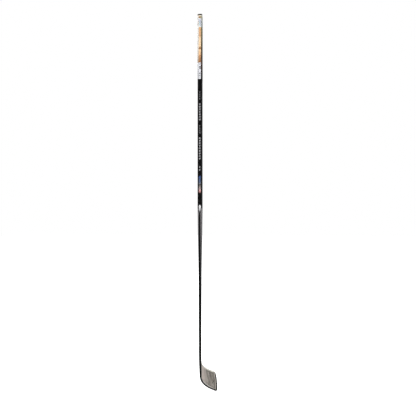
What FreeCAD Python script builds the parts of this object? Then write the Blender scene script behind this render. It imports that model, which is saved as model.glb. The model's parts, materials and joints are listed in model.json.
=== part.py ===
import FreeCAD, Part
import math
import os

# A left-handed composite ice hockey stick, in millimetres.
# Origin: centre of the butt end's flat top. +Z runs up along the shaft, so the stick hangs below z = 0.
# +Y is the way the blade points, and +X is the forehand side, towards which the blade curves.

V = FreeCAD.Vector

# Shaft: a rounded rectangle, narrow across X and wide across Y, that tapers towards the blade.
SHAFT_LENGTH = 1524.0
NARROW_SIDE = 19.4
WIDE_SIDE = 30.0
SHAFT_CORNER = 4.6
WALL = 1.5
TAPER_START = -805.0
TAPER_END = -1061.0
JOINT_Z = -1396.0
HOSEL_END = -1430.0

# Each section is z, width across X and depth across Y. The corner radius is the same all the way down.
SECTIONS = [
    (0.0, NARROW_SIDE, WIDE_SIDE),
    (TAPER_START, NARROW_SIDE, WIDE_SIDE),
    (TAPER_END, 12.4, 26.0),
    (JOINT_Z, 9.4, 24.2),
    (HOSEL_END, 9.3, 24.0),
]

# Butt end: a moulded cap with a stem that is glued into the tube.
CAP_HEIGHT = 5.5
CAP_ROUNDING = 1.8
STEM_END = -45.0
GLUE = 0.25
TENON_TOP = -1331.0

# Printed films and stickers, all the same thickness.
FILM = 0.25
TOP_WRAP_END = -56.0
UPPER_WRAP_END = -202.0
INFO_LABEL_END = -270.0
STICKER_RADIUS = 4.2
STICKER_Z = -14.5
PANEL_TOP = -22.0
PANEL_BOTTOM = -50.0
FLAT_MARK_WIDTH = 8.6

# Plain bars down the narrow back face: top, bottom and width of each group, and the bars in it.
MARK_GROUPS = [
    (-320.0, -357.0, 4.0, 4),
    (-370.0, -444.0, 6.4, 7),
    (-461.0, -498.0, 4.0, 4),
    (-510.0, -606.0, 5.4, 9),
    (-630.0, -652.0, 3.6, 2),
]
MARK_FILL = 0.62
BLUE_ACCENT = (-672.0, -706.0)
RED_ACCENT = (-708.0, -742.0)
WEDGE_TOP = -792.0
WEDGE_POINT = -826.0
WEDGE_WIDTH = 9.4
FADE_TOP = -815.0
FADE_RIGHT_END = -1180.0
FADE_LEFT_END = -900.0
FADE_RIGHT_INNER = 1.4
FADE_LEFT_INNER = -3.4

# Joint between the shaft and the blade's hosel.
BAND_TOP = -1385.0
BAND_BOTTOM = -1407.0
BAND_THICKNESS = 0.3

# Blade. "run" goes from the heel to the toe along the sole, and "rise" goes up the blade from the sole.
LIE = math.radians(45.0)
BLADE_LENGTH = 282.0
HEEL_HEIGHT = 58.5
TOE_HEIGHT = 84.0
TOE_ROCKER = 1.0
HEEL_ROCKER = 2.6
SOLE_LOW_RUN = 115.0
SOLE_LOW_RISE = -3.6
SOLE_RADIUS = 2400.0
HEEL_RADIUS = 26.0
TOE_BOTTOM_RADIUS = 15.0
TOE_TOP_RADIUS = 25.0
THROAT_RADIUS = 34.0
TOE_BULGE = 5.0
TOE_EDGE_RADIUS = 45.0
TOE_WIDEST = 0.46
CURVE_RADIUS = 665.0
HEEL_SHIFT = 2.4
HEEL_SHIFT_START = -75.0
HEEL_SHIFT_END = -10.0
FACE_OPENING = math.radians(6.6)
OPENING_PIVOT = 28.0
HOSEL_FRONT = 7.0
HOSEL_LOWEST_FRONT = -1449.0
SKIN = 1.1
SOLE_EDGE_HEIGHT = 5.0
TOE_EDGE_WIDTH = 4.0
TOP_EDGE_HEIGHT = 3.0
RIB_LOW = 33.0
RIB_HIGH = 38.0
THICKNESS = [(-75.0, 9.3), (-60.0, 9.1), (-30.0, 8.2), (0.0, 7.4), (60.0, 7.0), (150.0, 6.4), (320.0, 5.6)]
STATION_RUNS = [-75.0, -45.0, -20.0, 0.0, 23.0, 50.0, 80.0, 120.0, 160.0, 200.0, 240.0, 280.0, 320.0]
SLAB_LOW = -50.0
SLAB_HIGH = 125.0

# Small dashes printed under the blade's top edge on the forehand face.
DASH_COUNT = 5
DASH_FIRST_RUN = 138.0
DASH_SPACING = 24.0
DASH_LENGTH = 11.0
DASH_HEIGHT = 4.0
DASH_DROP = 9.0

FAR = 80.0


def blend(table, position):
    """Straight-line value from a table of (position, value) pairs in rising order."""
    for (p0, v0), (p1, v1) in zip(table, table[1:]):
        if position <= p1:
            share = (position - p0) / (p1 - p0)
            return v0 + (v1 - v0) * max(share, 0.0)
    return table[-1][1]


def section_at(z):
    """Width and depth of the shaft at a height."""
    return [blend([(-row[0], row[k]) for row in SECTIONS], -z) for k in (1, 2)]


def rounded_rectangle(z, width, depth, radius):
    """Closed wire of a rounded rectangle at height z."""
    a = width / 2.0
    b = depth / 2.0
    p = a - radius
    q = b - radius
    s = radius * math.sqrt(0.5)
    edges = []
    for sx, sy in ((1, 1), (-1, 1), (-1, -1), (1, -1)):
        side = V(sx * a, sy * q, z)
        end = V(sx * p, sy * b, z)
        middle = V(sx * (p + s), sy * (q + s), z)
        start, stop = (side, end) if sx * sy > 0 else (end, side)
        edges.append(Part.Arc(start, middle, stop).toShape())
    loop = []
    for arc, following in zip(edges, edges[1:] + edges[:1]):
        loop.append(arc)
        loop.append(Part.makeLine(arc.Vertexes[-1].Point, following.Vertexes[0].Point))
    return Part.Wire(loop)


def spindle(top, bottom, inset):
    """Solid that follows the shaft's outside between two heights, moved inwards by inset."""
    breaks = [row[0] for row in SECTIONS if bottom < row[0] < top]
    wires = []
    for z in [top] + breaks + [bottom]:
        width, depth = section_at(z)
        wires.append(rounded_rectangle(z, width - 2 * inset, depth - 2 * inset, SHAFT_CORNER - inset))
    return Part.makeLoft(wires, True, True)


def sleeve(top, bottom, thickness):
    """Thin layer wrapped round the shaft."""
    return spindle(top, bottom, -thickness).cut(spindle(top, bottom, 0.0))


def back_patch(outline, depth_from, thickness):
    """Flat mark on the narrow back face, from an outline of (x, z) points."""
    points = [V(x, -depth_from, z) for x, z in outline]
    face = Part.Face(Part.makePolygon(points + points[:1]))
    return face.extrude(V(0, -thickness, 0))


def rectangle(top, bottom, width):
    """Corner points of an upright rectangle centred on x = 0."""
    half = width / 2.0
    return [(-half, top), (half, top), (half, bottom), (-half, bottom)]


def slanted_bar(top, bottom, width, slant):
    """Corner points of a bar whose ends slope, centred on x = 0."""
    half = width / 2.0
    return [(-half, top - slant), (half, top), (half, bottom), (-half, bottom - slant)]


def place(run, rise, x=0.0):
    """Point in the row's frame from the blade's own run and rise."""
    return V(x, run * math.cos(LIE) + rise * math.sin(LIE),
             -SHAFT_LENGTH - run * math.sin(LIE) + rise * math.cos(LIE))


def own(y, z):
    """Run and rise of a point of the side view."""
    low = z + SHAFT_LENGTH
    return (y * math.cos(LIE) - low * math.sin(LIE), y * math.sin(LIE) + low * math.cos(LIE))


def middle_x(run):
    """Sideways place of the blade's middle: a gentle set-over at the heel, and then an arc."""
    share = (run - HEEL_SHIFT_START) / (HEEL_SHIFT_END - HEEL_SHIFT_START)
    share = min(max(share, 0.0), 1.0)
    set_over = HEEL_SHIFT * share * share * (3.0 - 2.0 * share)
    return set_over + CURVE_RADIUS - math.sqrt(CURVE_RADIUS ** 2 - max(run, 0.0) ** 2)


def face_x(run, rise, side, depth):
    """X of a blade surface: side is +1 for the forehand, and depth is measured in from that face."""
    opening = FACE_OPENING * min(max(run / BLADE_LENGTH, 0.0), 1.0) ** 1.5
    lean = math.tan(opening) * (rise - OPENING_PIVOT)
    return middle_x(run) - lean + side * (blend(THICKNESS, run) / 2.0 - depth)


def blade_layer(low_side, low_depth, high_side, high_depth):
    """Curved slab between two surfaces of the blade, larger than its outline."""
    wires = []
    for run in STATION_RUNS:
        corners = []
        for rise, side, depth in ((SLAB_LOW, low_side, low_depth), (SLAB_LOW, high_side, high_depth),
                                  (SLAB_HIGH, high_side, high_depth), (SLAB_HIGH, low_side, low_depth)):
            corners.append(place(run, rise, face_x(run, rise, side, depth)))
        wires.append(Part.makePolygon(corners + corners[:1]))
    return Part.makeLoft(wires, True, False)


def rounded_outline(corners):
    """Closed wire through (run, rise, radius) corners, with an arc at each corner that has a radius."""
    starts = []
    stops = []
    arcs = []
    count = len(corners)
    for k in range(count):
        before = place(*corners[k - 1][:2])
        here = place(*corners[k][:2])
        after = place(*corners[(k + 1) % count][:2])
        radius = corners[k][2]
        back = (before - here).normalize()
        ahead = (after - here).normalize()
        half = back.getAngle(ahead) / 2.0
        reach = radius / math.tan(half)
        starts.append(here + back * reach)
        stops.append(here + ahead * reach)
        if radius > 0:
            inward = (back + ahead).normalize()
            near = here + inward * (radius / math.sin(half) - radius)
            arcs.append(Part.Arc(starts[k], near, stops[k]).toShape())
        else:
            arcs.append(None)
    edges = []
    for k in range(count):
        if arcs[k] is not None:
            edges.append(arcs[k])
        edges.append(Part.makeLine(stops[k], starts[(k + 1) % count]))
    return Part.Wire(edges)


def prism(corners):
    """Outline drawn in the side view, pushed through the whole thickness along X."""
    wire = rounded_outline(corners)
    wire.translate(V(-FAR, 0, 0))
    return Part.Face(wire).extrude(V(3 * FAR, 0, 0))


def sole_rise(run):
    """Rise of the sole towards the toe, before its corner is rounded into one rocker."""
    share = (run - SOLE_LOW_RUN) / (BLADE_LENGTH - SOLE_LOW_RUN)
    return SOLE_LOW_RISE + share * (TOE_ROCKER - SOLE_LOW_RISE)


def top_rise(run):
    """Rise of the blade's top edge."""
    return HEEL_HEIGHT + (TOE_HEIGHT - HEEL_HEIGHT) * run / BLADE_LENGTH


def blade_corners(sole_inset, toe_inset, top_inset):
    """Outline of the blade with its hosel, each edge moved inwards by its own amount."""
    half = section_at(HOSEL_END)[1] / 2.0
    toe = BLADE_LENGTH - toe_inset
    low = toe - TOE_BULGE
    shrink = max(sole_inset, toe_inset)
    heel_rise = HEEL_ROCKER + sole_inset
    heel_run = -half / math.cos(LIE) - heel_rise
    return [
        own(-half, HOSEL_END) + (0.0,),
        (heel_run, heel_rise, HEEL_RADIUS),
        (SOLE_LOW_RUN, SOLE_LOW_RISE + sole_inset, SOLE_RADIUS),
        (low, sole_rise(low) + sole_inset, TOE_BOTTOM_RADIUS - shrink),
        (toe, TOE_HEIGHT * TOE_WIDEST, TOE_EDGE_RADIUS),
        (toe - 2.0, top_rise(toe) - top_inset, TOE_TOP_RADIUS - shrink),
        throat(half, top_inset) + (THROAT_RADIUS,),
        own(half, HOSEL_END) + (0.0,),
    ]


def throat(half, top_inset):
    """Corner where the blade's top edge would meet the front of the hosel."""
    slope = (TOE_HEIGHT - HEEL_HEIGHT) / BLADE_LENGTH
    height = HEEL_HEIGHT - top_inset
    run = (half / math.cos(LIE) - height) / (1.0 + slope)
    return (run, height + slope * run)


def blade_side():
    """Block that holds the moulded blade: all that lies in front of the hosel and below its shoulder."""
    return Part.makeBox(3 * FAR, 5 * FAR, 5 * FAR, V(-FAR, HOSEL_FRONT, HOSEL_LOWEST_FRONT - 5 * FAR))


def rise_band(low, high):
    """Block that keeps the blade between two rises."""
    return prism([(-FAR, low, 0.0), (4.5 * FAR, low, 0.0), (4.5 * FAR, high, 0.0), (-FAR, high, 0.0)])


def above_top_line():
    """Block above the lower side of the top edge strip, as far as the toe's round corner."""
    start = -FAR
    stop = BLADE_LENGTH - TOE_TOP_RADIUS
    low_start = top_rise(start) - TOP_EDGE_HEIGHT
    low_stop = top_rise(stop) - TOP_EDGE_HEIGHT
    return prism([(start, low_start, 0.0), (stop, low_stop, 0.0),
                  (stop, low_stop + FAR, 0.0), (start, low_start + FAR, 0.0)])


def make_butt_plug():
    """Cap with a rounded rim, and the stem that goes into the tube."""
    cap = spindle(0.0, -CAP_HEIGHT, -FILM)
    rim = [edge for edge in cap.Edges if min(v.Z for v in edge.Vertexes) > -0.01]
    cap = cap.makeFillet(CAP_ROUNDING, rim)
    return cap.fuse(spindle(-CAP_HEIGHT, STEM_END, WALL + GLUE)).removeSplitter()


def make_marks():
    """Groups of plain bars along the narrow back face."""
    bars = []
    for top, bottom, width, count in MARK_GROUPS:
        pitch = (top - bottom) / count
        for k in range(count):
            high = top - k * pitch
            low = high - pitch * MARK_FILL
            outline = slanted_bar(high, low, width, pitch * (1.0 - MARK_FILL) / 2.0)
            bars.append(back_patch(outline, WIDE_SIDE / 2.0, FILM))
    return Part.makeCompound(bars)


def make_wedge():
    """White wedge with its point down."""
    half = WEDGE_WIDTH / 2.0
    shoulder = WEDGE_TOP - 6.0
    outline = [(-half * 0.5, WEDGE_TOP), (half * 0.5, WEDGE_TOP), (half, shoulder), (0.6, WEDGE_POINT),
               (-0.6, WEDGE_POINT), (-half, shoulder)]
    depth = section_at(WEDGE_POINT)[1] / 2.0
    flat = back_patch(outline, depth - 1.0, 1.0 + 2 * FILM)
    return flat.common(sleeve(WEDGE_TOP + 1.0, WEDGE_POINT - 1.0, FILM))


def make_fade(bottom, x_low, x_high):
    """Silver film on one rear corner of the tapering shaft."""
    corner = Part.makeBox(x_high - x_low, WIDE_SIDE / 2.0, FADE_TOP - bottom,
                          V(x_low, -WIDE_SIDE / 2.0 - 2.0, bottom))
    return sleeve(FADE_TOP, bottom, FILM).common(corner)


def make_hosel(full_slab, outline):
    """Solid hosel: tenon inside the tube, socket shoulder, and the black heel of the blade."""
    tenon = spindle(TENON_TOP, JOINT_Z, WALL + GLUE)
    neck = spindle(JOINT_Z, HOSEL_END, 0.0)
    width, depth = section_at(HOSEL_END)
    back = rounded_rectangle(HOSEL_END, width + 2.0 * HEEL_SHIFT, 3.0 * depth, SHAFT_CORNER)
    back.translate(V(0, depth, 0))
    column = Part.Face(back).extrude(V(0, 0, -2 * FAR))
    heel = outline.common(full_slab).cut(blade_side()).common(column)
    return tenon.fuse([neck, heel]).removeSplitter()


def make_dashes():
    """Printed dashes just under the blade's top edge."""
    film = blade_layer(1, 0.0, 1, -FILM)
    dashes = []
    for k in range(DASH_COUNT):
        run = DASH_FIRST_RUN + k * DASH_SPACING
        high = top_rise(run) - DASH_DROP
        corners = [(run, high - DASH_HEIGHT, 0.0), (run + DASH_LENGTH, high - DASH_HEIGHT + 0.9, 0.0),
                   (run + DASH_LENGTH, high + 0.9, 0.0), (run, high, 0.0)]
        dashes.append(film.common(prism(corners)))
    return Part.makeCompound(dashes)


def build():
    """All pieces by name."""
    nodes = {}
    nodes["butt_plug"] = make_butt_plug()
    nodes["plug_glue"] = spindle(-CAP_HEIGHT, STEM_END, WALL).cut(
        spindle(-CAP_HEIGHT, STEM_END, WALL + GLUE))
    nodes["shaft_tube"] = spindle(-CAP_HEIGHT, JOINT_Z, 0.0).cut(spindle(-CAP_HEIGHT, JOINT_Z, WALL))
    nodes["top_wrap_label"] = sleeve(-CAP_HEIGHT, TOP_WRAP_END, FILM)
    nodes["upper_wrap_film"] = sleeve(TOP_WRAP_END, UPPER_WRAP_END, FILM)
    nodes["info_label"] = sleeve(UPPER_WRAP_END, INFO_LABEL_END, FILM)

    label_back = WIDE_SIDE / 2.0 + FILM
    sticker = Part.makeCylinder(STICKER_RADIUS, FILM, V(0, -label_back, STICKER_Z), V(0, -1, 0))
    nodes["round_sticker"] = sticker
    panel = rectangle(PANEL_TOP, PANEL_BOTTOM, FLAT_MARK_WIDTH)
    nodes["panel_sticker"] = back_patch(panel, label_back, FILM)

    nodes["grey_marks"] = make_marks()
    nodes["blue_accent"] = back_patch(rectangle(*BLUE_ACCENT, FLAT_MARK_WIDTH), WIDE_SIDE / 2.0, FILM)
    nodes["red_accent"] = back_patch(rectangle(*RED_ACCENT, FLAT_MARK_WIDTH), WIDE_SIDE / 2.0, FILM)
    nodes["white_wedge"] = make_wedge()
    nodes["fade_strip_right"] = make_fade(FADE_RIGHT_END, FADE_RIGHT_INNER, NARROW_SIDE)
    nodes["fade_strip_left"] = make_fade(FADE_LEFT_END, -NARROW_SIDE, FADE_LEFT_INNER)

    full_slab = blade_layer(-1, 0.0, 1, 0.0)
    outline = prism(blade_corners(0.0, 0.0, 0.0))
    full = outline.common(blade_side())
    inner = prism(blade_corners(SOLE_EDGE_HEIGHT, TOE_EDGE_WIDTH, TOP_EDGE_HEIGHT)).common(blade_side())
    border = full.cut(inner)
    top_zone = above_top_line()

    nodes["hosel"] = make_hosel(full_slab, outline)
    nodes["tenon_glue"] = spindle(TENON_TOP, JOINT_Z, WALL).cut(spindle(TENON_TOP, JOINT_Z, WALL + GLUE))
    nodes["joint_band"] = sleeve(BAND_TOP, BAND_BOTTOM, BAND_THICKNESS)
    nodes["top_edge_strip"] = full_slab.common(border.common(top_zone))
    nodes["sole_and_toe_edge"] = full_slab.common(border.cut(top_zone))
    nodes["forehand_skin"] = blade_layer(1, SKIN, 1, 0.0).common(inner)
    nodes["backhand_skin"] = blade_layer(-1, 0.0, -1, SKIN).common(inner)
    core = blade_layer(-1, SKIN, 1, SKIN).common(inner)
    nodes["upper_core"] = core.common(rise_band(RIB_HIGH, SLAB_HIGH))
    nodes["core_rib"] = core.common(rise_band(RIB_LOW, RIB_HIGH))
    nodes["lower_core"] = core.common(rise_band(SLAB_LOW, RIB_LOW))
    nodes["top_edge_marks"] = make_dashes()
    return nodes


def main():
    os.makedirs("parts", exist_ok=True)
    for name, shape in build().items():
        shape.exportStep("parts/" + name + ".step")
        box = shape.optimalBoundingBox(False)
        size = [round(v, 1) for v in (box.XLength, box.YLength, box.ZLength)]
        print(name, shape.isValid(), len(shape.Solids), "solids", round(shape.Volume, 1), "mm3", size)


main()
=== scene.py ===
# %% [markdown]
# # An ice hockey stick, piece by piece
# The stick is a hollow carbon shaft with a capped butt end, bonded to a curved, foam-cored blade. The
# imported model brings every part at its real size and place. This script keeps the parts whose shape is
# already right, gives them a finish, and models finer surfaces for the parts that show. Everything is in
# metres: +Z runs up the shaft, +Y is the way the blade points, +X is the forehand side.

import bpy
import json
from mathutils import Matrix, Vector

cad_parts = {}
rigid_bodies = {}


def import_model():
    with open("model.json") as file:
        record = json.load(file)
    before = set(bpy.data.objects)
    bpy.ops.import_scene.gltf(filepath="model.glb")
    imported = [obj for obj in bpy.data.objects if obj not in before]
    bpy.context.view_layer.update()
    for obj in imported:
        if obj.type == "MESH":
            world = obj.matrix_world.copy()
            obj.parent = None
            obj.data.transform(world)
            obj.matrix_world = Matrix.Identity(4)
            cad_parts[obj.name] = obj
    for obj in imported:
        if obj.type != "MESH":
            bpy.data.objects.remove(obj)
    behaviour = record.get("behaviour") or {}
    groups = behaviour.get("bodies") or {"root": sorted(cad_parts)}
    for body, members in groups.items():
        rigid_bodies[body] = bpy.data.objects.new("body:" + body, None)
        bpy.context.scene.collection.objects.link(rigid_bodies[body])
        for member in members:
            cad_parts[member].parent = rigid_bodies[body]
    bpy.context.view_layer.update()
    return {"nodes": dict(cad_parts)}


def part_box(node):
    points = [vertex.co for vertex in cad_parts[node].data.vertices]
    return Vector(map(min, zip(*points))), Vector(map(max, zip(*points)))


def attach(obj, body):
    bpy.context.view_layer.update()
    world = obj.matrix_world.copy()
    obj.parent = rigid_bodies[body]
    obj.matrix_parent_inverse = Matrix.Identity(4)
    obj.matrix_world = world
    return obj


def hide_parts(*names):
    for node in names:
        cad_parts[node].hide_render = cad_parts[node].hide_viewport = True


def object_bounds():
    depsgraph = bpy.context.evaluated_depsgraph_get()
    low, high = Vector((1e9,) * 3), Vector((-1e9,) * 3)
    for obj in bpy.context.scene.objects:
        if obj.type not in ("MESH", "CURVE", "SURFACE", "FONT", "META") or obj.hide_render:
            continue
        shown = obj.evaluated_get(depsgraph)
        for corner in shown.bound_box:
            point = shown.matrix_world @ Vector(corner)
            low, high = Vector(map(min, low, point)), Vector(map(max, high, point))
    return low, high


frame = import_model()

import json
import math
import bpy
from mathutils import Vector

MM = 0.001
TOUCH = 0.01 * MM
FACING = 0.9

# %% [markdown]
# ## Small helpers
# Operators act on whatever is selected, and the loaded parts arrive selected. So each step first lets go of
# everything, and then picks faces or edges by where they are. A piece is finished when its place is in its
# mesh: the object itself stays at the origin, so patterns that read object coordinates keep their place.

# %% Helpers for picking and settling
def let_go():
    """Leave edit mode and deselect every object."""
    if bpy.context.object and bpy.context.object.mode == "EDIT":
        bpy.ops.object.mode_set(mode="OBJECT")
    bpy.ops.object.select_all(action="DESELECT")


def hold(piece):
    """Make one piece the only selected and active object."""
    let_go()
    piece.select_set(True)
    bpy.context.view_layer.objects.active = piece


def pick(piece, kind, test):
    """In edit mode, select only the faces or edges whose place passes the test."""
    hold(piece)
    bpy.ops.object.mode_set(mode="EDIT")
    bpy.ops.mesh.select_mode(type={"faces": "FACE", "edges": "EDGE", "vertices": "VERT"}[kind])
    bpy.ops.mesh.select_all(action="DESELECT")
    bpy.ops.object.mode_set(mode="OBJECT")
    mesh = piece.data
    found = 0
    for item in {"faces": mesh.polygons, "edges": mesh.edges, "vertices": mesh.vertices}[kind]:
        item.select = bool(test(item))
        found += item.select
    bpy.ops.object.mode_set(mode="EDIT")
    return found


def ends(piece, edge):
    """The two end points of an edge."""
    return [piece.data.vertices[v].co for v in edge.vertices]


def apply_modifier(piece, kind, **settings):
    """Add a modifier, set it up and apply it."""
    hold(piece)
    modifier = piece.modifiers.new(kind.lower(), kind)
    for key, value in settings.items():
        setattr(modifier, key, value)
    bpy.ops.object.modifier_apply(modifier=modifier.name)


def settle(piece, name, angle=35.0, weigh=True):
    """Name a piece, smooth its round faces, and even out the normals next to its flat ones."""
    hold(piece)
    piece.name = name
    piece.data.name = name
    bpy.ops.object.transform_apply(location=True, rotation=True, scale=True)
    bpy.ops.object.shade_smooth_by_angle(angle=math.radians(angle))
    if weigh:
        apply_modifier(piece, "WEIGHTED_NORMAL", keep_sharp=True, weight=80)
    let_go()
    print(name, len(piece.data.polygons), "faces")
    return piece


def finish_piece(piece, material, slot, *replaced):
    """Give a piece its material and its body, and hide the nodes it stands for. The slot is not used."""
    if material:
        piece.data.materials.clear()
        piece.data.materials.append(material)
    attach(piece, "root")
    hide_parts(*replaced)

# %% [markdown]
# ## Writing a material in a few lines
# A procedural material is a small graph of nodes. The put helper adds one node, sets its plain inputs and
# links any input that is given as another node's output, which also tells it whose graph it is working in.
# Short names for the usual sums let a material be read from top to bottom.

# %% Helpers for node graphs
def feed(socket, value):
    """Link a socket to another node's output, or set it to a plain value."""
    if isinstance(value, bpy.types.NodeSocket):
        socket.id_data.links.new(value, socket)
    else:
        socket.default_value = value


def put(kind, settings=None, tree=None, **inputs):
    """Add a node to the graph its inputs come from. The inputs are named, or numbered as in_0."""
    tree = tree or next(value.id_data for value in inputs.values() if isinstance(value, bpy.types.NodeSocket))
    node = tree.nodes.new("ShaderNode" + kind)
    for key, value in (settings or {}).items():
        setattr(node, key, value)
    for key, value in inputs.items():
        feed(node.inputs[int(key[3:]) if key.startswith("in_") else key.replace("_", " ")], value)
    return node


def maths(operation, a, b=0.0, c=0.0, clamp=False):
    """One sum on two or three numbers."""
    return put("Math", {"operation": operation, "use_clamp": clamp}, in_0=a, in_1=b, in_2=c).outputs[0]


def plus(a, b, clamp=False):
    """Two numbers added."""
    return maths("ADD", a, b, clamp=clamp)


def minus(a, b):
    """The second number taken from the first."""
    return maths("SUBTRACT", a, b)


def times(a, b):
    """Two numbers multiplied."""
    return maths("MULTIPLY", a, b)


def times_plus(a, b, c):
    """Two numbers multiplied, and a third added."""
    return maths("MULTIPLY_ADD", a, b, c)


def noise(point, scale=1.0, detail=2.0, **more):
    """A cloudy pattern between 0 and 1."""
    return put("TexNoise", Vector=point, Scale=scale, Detail=detail, **more).outputs[0]


def fade(value, low, high, to_low=0.0, to_high=1.0):
    """A smooth step: to_low below low, to_high above high."""
    return put("MapRange", {"interpolation_type": "SMOOTHSTEP"}, Value=value, From_Min=low,
               From_Max=high, To_Min=to_low, To_Max=to_high).outputs[0]


def mix(factor, a, b):
    """Blend two colours by a factor."""
    node = put("Mix", {"data_type": "RGBA"}, Factor=factor, in_6=a, in_7=b)
    return node.outputs[2]


def grey(value):
    """A neutral colour."""
    return (value, value, value, 1.0)


def paint(red, green, blue):
    """A colour given as it looks on a screen, from 0 to 255, turned into linear light."""
    return tuple((c / 255.0) ** 2.2 for c in (red, green, blue)) + (1.0,)


def begin(name):
    """An empty material, the point on the piece and its three coordinates in metres."""
    made = bpy.data.materials.new(name)
    made.use_nodes = True
    point = put("TexCoord", tree=made.node_tree).outputs["Object"]
    return (made, point, *put("SeparateXYZ", Vector=point).outputs)


def stretched(point, x, y, z, turn=(0.0, 0.0, 0.0)):
    """The point with each axis scaled, so that a pattern can run along one of them."""
    return put("Mapping", Vector=point, Rotation=turn, Scale=(x, y, z)).outputs[0]


def surface(made, colour, roughness, height=None, depth=0.1, strength=0.5, **sockets):
    """A finished material. Colour and roughness are values or sockets of its tree; depth is in mm."""
    shader = made.node_tree.nodes["Principled BSDF"]
    feed(shader.inputs["Base Color"], colour)
    feed(shader.inputs["Roughness"], roughness)
    for key, value in sockets.items():
        shader.inputs[key.replace("_", " ")].default_value = value
    if height is not None:
        bump = put("Bump", Height=height, Distance=depth * MM, Strength=strength)
        feed(shader.inputs["Normal"], bump.outputs[0])
    return made

# %% [markdown]
# ## Effects that several finishes share
# Scuffs, fibre streaks and the twill of carbon cloth turn up in many finishes of this stick. Each is made
# once as a node group with named inputs and outputs, and placed in a material with its own numbers.

# %% Shared node groups
def group(name, inputs, outputs):
    """An empty node group, its tree and its input and output nodes."""
    tree = bpy.data.node_groups.new(name, "ShaderNodeTree")
    for label, kind in inputs:
        tree.interface.new_socket(label, in_out="INPUT", socket_type="NodeSocket" + kind)
    for label, kind in outputs:
        tree.interface.new_socket(label, in_out="OUTPUT", socket_type="NodeSocket" + kind)
    return tree, tree.nodes.new("NodeGroupInput").outputs, tree.nodes.new("NodeGroupOutput").inputs


def use(effect, **inputs):
    """Place a shared group in a material."""
    node = put("Group", {"node_tree": effect}, **inputs)
    return node.outputs


scuffs, given, result = group("scuffs", [("Vector", "Vector"), ("Amount", "Float")],
                              [("Roughness", "Float"), ("Height", "Float"), ("Mask", "Float")])
long_way = stretched(given["Vector"], 900.0, 900.0, 60.0)
scratches = noise(long_way, detail=4.0, Roughness=0.65)
patches = noise(given["Vector"], 38.0, 5.0, Roughness=0.6)
worn = times(fade(scratches, 0.62, 0.74), fade(patches, 0.46, 0.62))
rough = times_plus(worn, 0.25, times_plus(patches, 0.10, -0.05))
feed(result["Mask"], times(worn, given["Amount"]))
feed(result["Roughness"], times(rough, given["Amount"]))
feed(result["Height"], minus(times(patches, 0.15), worn))

twill, given, result = group("carbon_twill", [("Vector", "Vector"), ("Tow", "Float")],
                             [("Value", "Float"), ("Height", "Float")])
scaled = put("VectorMath", {"operation": "SCALE"}, Vector=given["Vector"],
             Scale=maths("DIVIDE", 1.0, given["Tow"])).outputs[0]
sideways, deep, down = put("SeparateXYZ", Vector=scaled).outputs
across = plus(sideways, deep)
squares = plus(maths("FLOOR", across), maths("FLOOR", down))
over = maths("LESS_THAN", maths("FRACT", times(squares, 0.25)), 0.5)
weave = put("Mix", {"data_type": "FLOAT"}, Factor=over, in_2=maths("PINGPONG", across, 0.5),
            in_3=maths("PINGPONG", down, 0.5)).outputs[0]
feed(result["Value"], times_plus(over, 0.5, times(weave, 0.8)))
feed(result["Height"], weave)

streaks, given, result = group("fibre_streaks", [("Vector", "Vector"), ("Contrast", "Float")],
                               [("Value", "Float"), ("Fine", "Float"), ("Height", "Float")])
broad = noise(given["Vector"], detail=3.0, Roughness=0.55, Distortion=0.6)
close_up = stretched(given["Vector"], 5.0, 5.0, 5.0)
fine = noise(close_up, detail=4.0, Roughness=0.7)
both = times_plus(fine, 0.4, times(broad, 0.6))
strong = maths("MULTIPLY_ADD", minus(both, 0.5), given["Contrast"], 0.5, clamp=True)
for label, value in (("Value", strong), ("Fine", fine), ("Height", both)):
    feed(result[label], value)
print("groups:", [g.name for g in bpy.data.node_groups])

# %% [markdown]
# ## Black carbon under clear coat
# Most of the shaft is black laminate with a hard, glossy lacquer. Up close the twill of the cloth shows as
# a faint change of black, and the lacquer has hairline scratches. The base stays rough and almost black,
# and a coat layer gives the sharp reflection, as lacquer does. On the taper, silver paint starts beside the
# white wedge on the two rear corners and fades out going down, so the same finish takes a silver mask
# there.

# %% Finish for the shaft and hosel
FLAT_HALF = 4.7 * MM
WEDGE_TOP, WEDGE_POINT = -792.0 * MM, -828.0 * MM
SILVER_RIGHT = (2.4 * MM, -1180.0 * MM)
SILVER_LEFT = (3.9 * MM, -1040.0 * MM)
SILVER_SPREAD = 1.5 * MM
SILVER_SOFT = 0.5 * MM
SILVER_START = 6 * MM
SILVER_POWER = 1.4
SILVER_TONES = ((0.09, 0.086, 0.088, 1.0), (0.2, 0.192, 0.196, 1.0))
CLOTH_TONES = ((0.0022, 0.0022, 0.0024, 1.0), (0.0062, 0.0061, 0.0062, 1.0))
REAR = (-9.0 * MM, -3.0 * MM)
TOW = 1.9 * MM


def silver_side(sideways, rear, z, inner, bottom):
    """Mask of the silver paint on one rear corner: sideways grows towards that corner."""
    edge = put("MapRange", Value=z, From_Min=WEDGE_POINT, From_Max=WEDGE_TOP, To_Min=inner,
               To_Max=FLAT_HALF + SILVER_SPREAD).outputs[0]
    beyond = fade(minus(sideways, edge), 0.0, SILVER_SOFT)
    length = put("MapRange", Value=z, From_Min=bottom, From_Max=WEDGE_TOP).outputs[0]
    below = fade(z, WEDGE_TOP - SILVER_START, WEDGE_TOP, 1.0, 0.0)
    strength = times(maths("POWER", length, SILVER_POWER), below)
    return times(times(beyond, rear), strength)


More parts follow.
